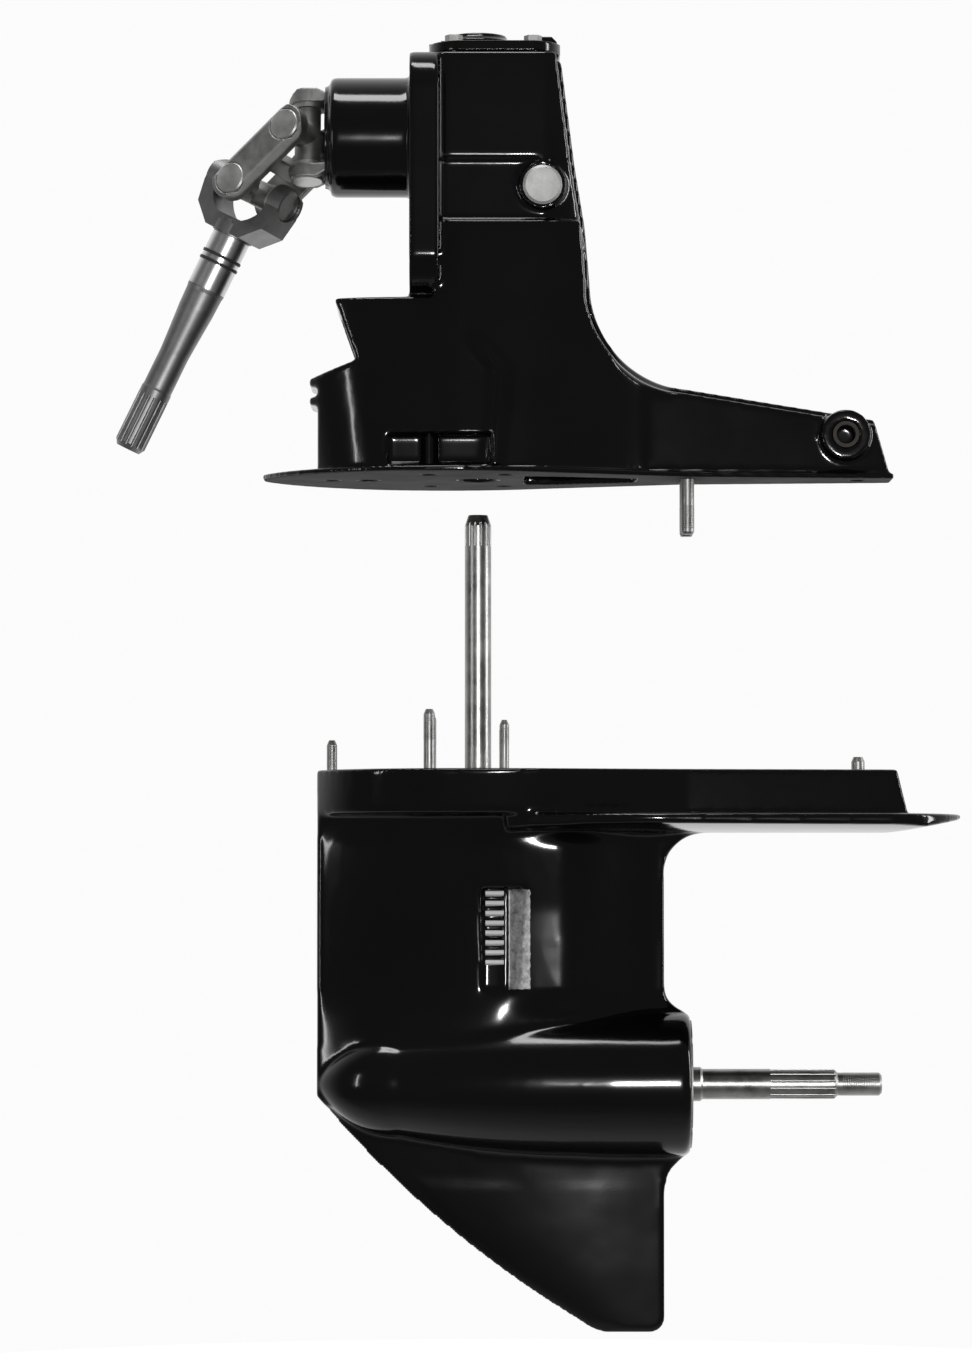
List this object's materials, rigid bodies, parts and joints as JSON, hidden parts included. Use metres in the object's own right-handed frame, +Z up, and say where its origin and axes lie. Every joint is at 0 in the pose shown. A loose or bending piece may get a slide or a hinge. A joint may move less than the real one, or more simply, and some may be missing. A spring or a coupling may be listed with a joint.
{
  "type": "stern drive",
  "caption": "Marine stern drive shown apart: upper driveshaft housing with a double universal joint, and lower gear housing with skeg, ventilation plate and propeller shaft.",
  "frame": {"origin": "where the input centreline crosses the front face of the flange", "axes": "+X aft, +Y to starboard, +Z up; the input line lies along X and the driveshaft along Z"},
  "size_m": [0.7089, 0.221, 1.0887],
  "materials": {
    "black_paint": "gloss",
    "shaft_steel": "satin",
    "yoke_steel": "satin",
    "gear_steel": "satin",
    "bearing_steel": "polished",
    "plated_steel": "satin",
    "bare_aluminium": "satin",
    "bronze": "satin",
    "seal_rubber": "matte",
    "pump_plastic": "matte",
    "gasket": "matte"
  },
  "bodies": {
    "upper_housing": {"driveshaft_housing": "black_paint", "top_cover": "black_paint", "top_cover_bolts": "plated_steel", "top_cover_seal": "gasket", "side_plug": "bare_aluminium", "bearing_retainer": "bare_aluminium", "input_seal": "seal_rubber", "input_bearing_cups": "bearing_steel", "driveshaft_bearing_cups": "bearing_steel", "upper_shaft_seal": "seal_rubber", "trim_pin_bushings": "bronze", "lower_studs": "plated_steel"},
    "input_line": {"drive_pinion": "gear_steel", "pinion_shaft": "shaft_steel", "input_bearing_cones": "bearing_steel", "yoke_nut": "plated_steel", "input_yoke": "yoke_steel", "input_yoke_cups": "bearing_steel"},
    "first_cross": {"first_cross": "yoke_steel"},
    "centre_yoke": {"centre_yoke": "yoke_steel", "centre_yoke_cups": "bearing_steel"},
    "second_cross": {"second_cross": "yoke_steel"},
    "input_shaft": {"input_shaft": "yoke_steel", "shaft_yoke_cups": "bearing_steel", "input_shaft_rings": "seal_rubber"},
    "upper_driveshaft": {"driven_gear": "gear_steel", "upper_driveshaft": "shaft_steel", "upper_driveshaft_cones": "bearing_steel"},
    "gearcase": {"gear_housing": "black_paint", "side_studs": "plated_steel", "front_stud": "plated_steel", "rear_stud": "plated_steel", "water_pump_base": "bare_aluminium", "water_pump_face_plate": "shaft_steel", "water_pump_housing": "pump_plastic", "lower_driveshaft_bearings": "bearing_steel", "lower_driveshaft_seal": "seal_rubber", "forward_gear_cup": "bearing_steel", "reverse_gear_cup": "bearing_steel", "bearing_carrier": "black_paint", "carrier_tab_washer": "plated_steel", "carrier_retaining_nut": "bare_aluminium", "prop_shaft_bearing": "bearing_steel", "prop_shaft_seals": "seal_rubber", "drain_plug": "plated_steel", "shift_shaft_bushing": "bronze"},
    "lower_driveshaft": {"lower_driveshaft": "shaft_steel", "lower_driveshaft_cone": "bearing_steel", "pump_impeller": "seal_rubber", "lower_pinion": "gear_steel", "pinion_nut": "plated_steel"},
    "forward_gear": {"forward_gear": "gear_steel", "forward_gear_cone": "bearing_steel"},
    "reverse_gear": {"reverse_gear": "gear_steel", "reverse_gear_cone": "bearing_steel"},
    "propeller_shaft": {"propeller_shaft": "shaft_steel"},
    "clutch": {"clutch_dog": "gear_steel", "clutch_cross_pin": "bearing_steel", "shift_plunger": "shaft_steel"},
    "shift_shaft": {"shift_shaft": "shaft_steel"}
  },
  "joints": [
    {"name": "input_spin", "type": "hinge", "parent": "upper_housing", "child": "input_line", "pos_m": [0, 0, 0], "axis": [1, 0, 0], "continuous": true},
    {"name": "first_cross_swing", "type": "hinge", "parent": "input_line", "child": "first_cross", "pos_m": [-0.0865, 0, 0], "axis": [0, 0.2164, 0.9763], "range_deg": [0, 48]},
    {"name": "centre_yoke_bend", "type": "hinge", "parent": "first_cross", "child": "centre_yoke", "pos_m": [-0.0865, 0, 0], "axis": [0.497, 0.8472, -0.1878], "range_deg": [0, 71.6]},
    {"name": "second_cross_bend", "type": "hinge", "parent": "centre_yoke", "child": "second_cross", "pos_m": [-0.13239, 0.0174, -0.04292], "axis": [0.497, 0.8472, -0.1878], "range_deg": [-2.5, 49.5]},
    {"name": "input_shaft_swing", "type": "hinge", "parent": "second_cross", "child": "input_shaft", "pos_m": [-0.13239, 0.0174, -0.04292], "axis": [-0.7469, 0.5278, 0.4044], "range_deg": [-24, 24]},
    {"name": "upper_driveshaft_spin", "type": "hinge", "parent": "upper_housing", "child": "upper_driveshaft", "pos_m": [0.0571, 0, 0], "axis": [0, 0, 1], "continuous": true},
    {"name": "gearcase_slide", "type": "slide", "parent": "upper_housing", "child": "gearcase", "axis": [0, 0, 1], "range_m": [0, 0.243]},
    {"name": "driveshaft_spin", "type": "hinge", "parent": "gearcase", "child": "lower_driveshaft", "pos_m": [0.0571, 0, -0.7963], "axis": [0, 0, 1], "continuous": true},
    {"name": "forward_gear_spin", "type": "hinge", "parent": "gearcase", "child": "forward_gear", "pos_m": [0, 0, -0.7963], "axis": [1, 0, 0], "continuous": true},
    {"name": "reverse_gear_spin", "type": "hinge", "parent": "gearcase", "child": "reverse_gear", "pos_m": [0.1, 0, -0.7963], "axis": [1, 0, 0], "continuous": true},
    {"name": "propeller_shaft_spin", "type": "hinge", "parent": "gearcase", "child": "propeller_shaft", "pos_m": [0.1, 0, -0.7963], "axis": [1, 0, 0], "continuous": true},
    {"name": "shift_shaft_turn", "type": "hinge", "parent": "gearcase", "child": "shift_shaft", "pos_m": [-0.035, 0, -0.7963], "axis": [0, 0, 1], "range_deg": [-28, 28]},
    {"name": "clutch_slide", "type": "slide", "parent": "propeller_shaft", "child": "clutch", "axis": [1, 0, 0], "range_m": [-0.0043, 0.0043]}
  ],
  "couplings": [
    {"joint": "upper_driveshaft_spin", "follows": "input_spin", "ratio": 0.90909},
    {"joint": "driveshaft_spin", "follows": "input_spin", "ratio": 0.90909},
    {"joint": "forward_gear_spin", "follows": "input_spin", "ratio": 0.60606},
    {"joint": "reverse_gear_spin", "follows": "input_spin", "ratio": -0.60606},
    {"joint": "shift_shaft_turn", "follows": "clutch_slide", "rad_per_m": -113.64}
  ]
}
